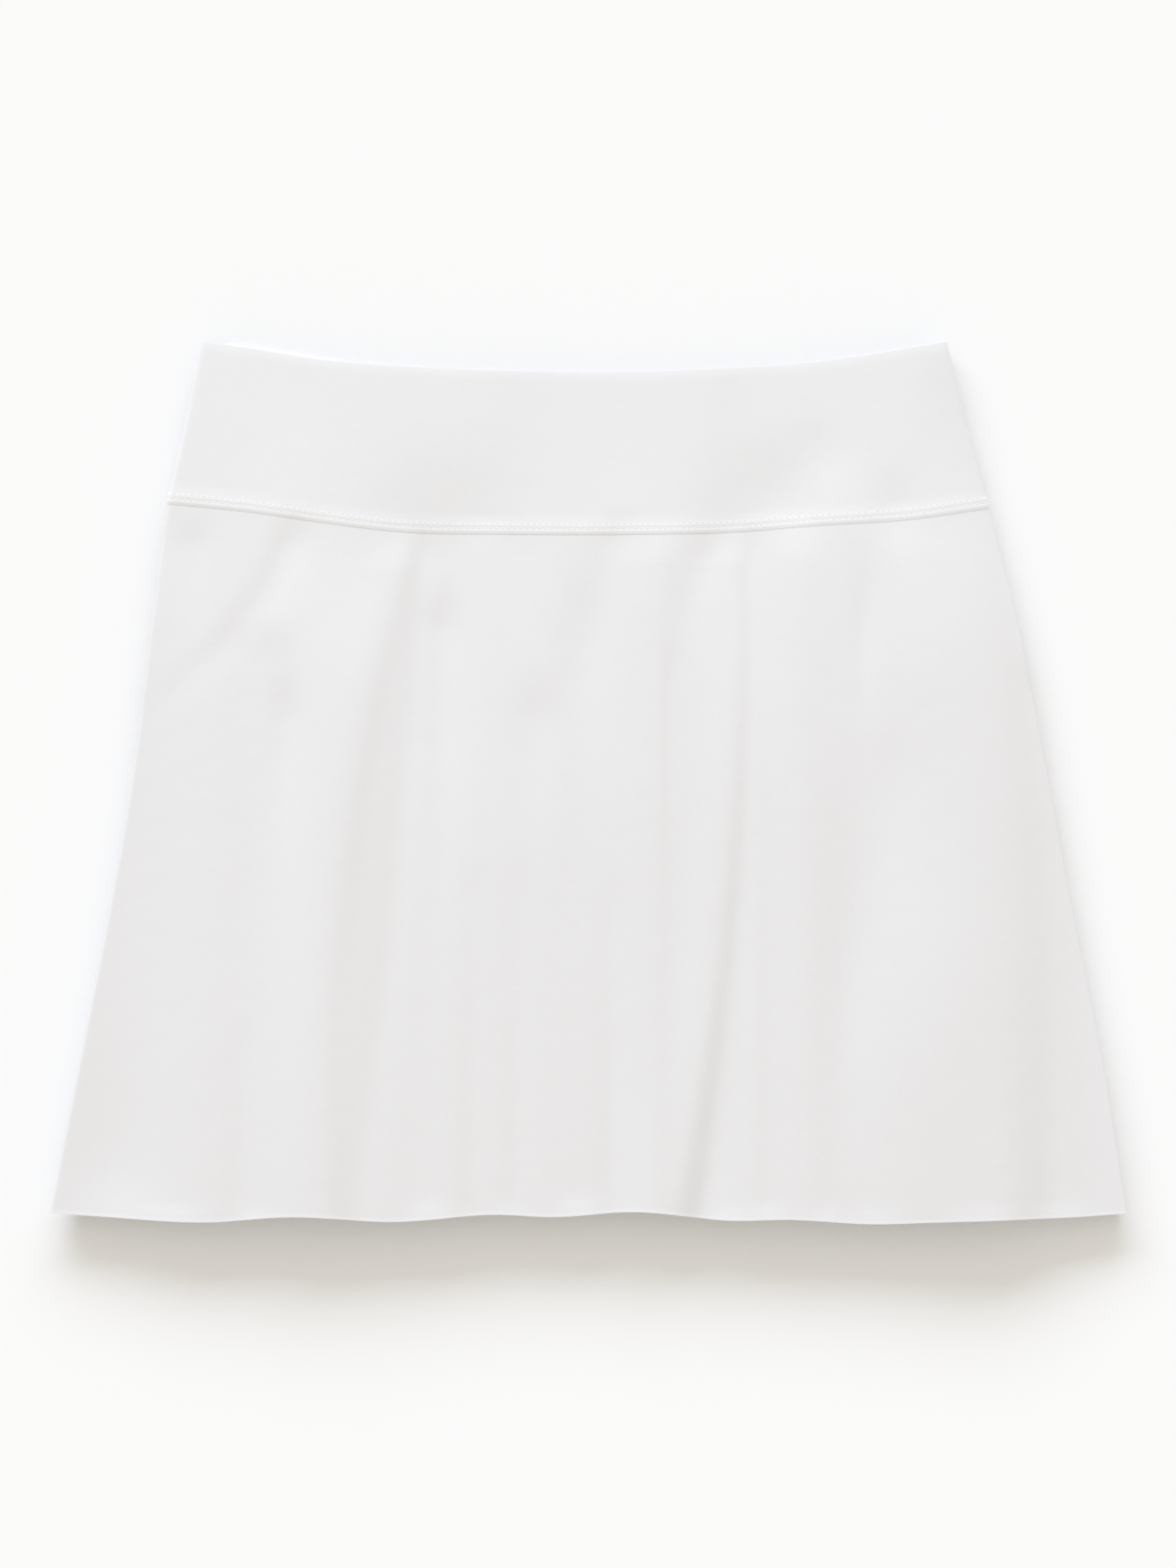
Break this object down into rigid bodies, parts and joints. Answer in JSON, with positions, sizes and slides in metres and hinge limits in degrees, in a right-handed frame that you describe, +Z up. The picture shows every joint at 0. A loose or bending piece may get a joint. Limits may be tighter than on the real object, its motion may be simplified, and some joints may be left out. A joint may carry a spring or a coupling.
{
  "type": "tennis skirt",
  "caption": "A-line tennis skirt with a wide smooth waistband, laid out flat on its back.",
  "frame": {"origin": "centre of the flat underside's bounding box, on the surface that the skirt lies on", "axes": "+X towards the right side seam as seen from above, along the hem; +Y from the hem to the waist; +Z up, away from the surface"},
  "size_m": [0.481, 0.3946, 0.0216],
  "materials": {
    "skirt_cloth": "matte white stretch cloth",
    "band_cloth": "matte white stretch cloth, double",
    "seam_stitching": "white cover stitching over a padded seam"
  },
  "bodies": {
    "root": {"skirt_front": "skirt_cloth", "skirt_back": "skirt_cloth", "waistband_front": "band_cloth", "waistband_back": "band_cloth", "seam_welt": "seam_stitching"}
  },
  "joints": []
}
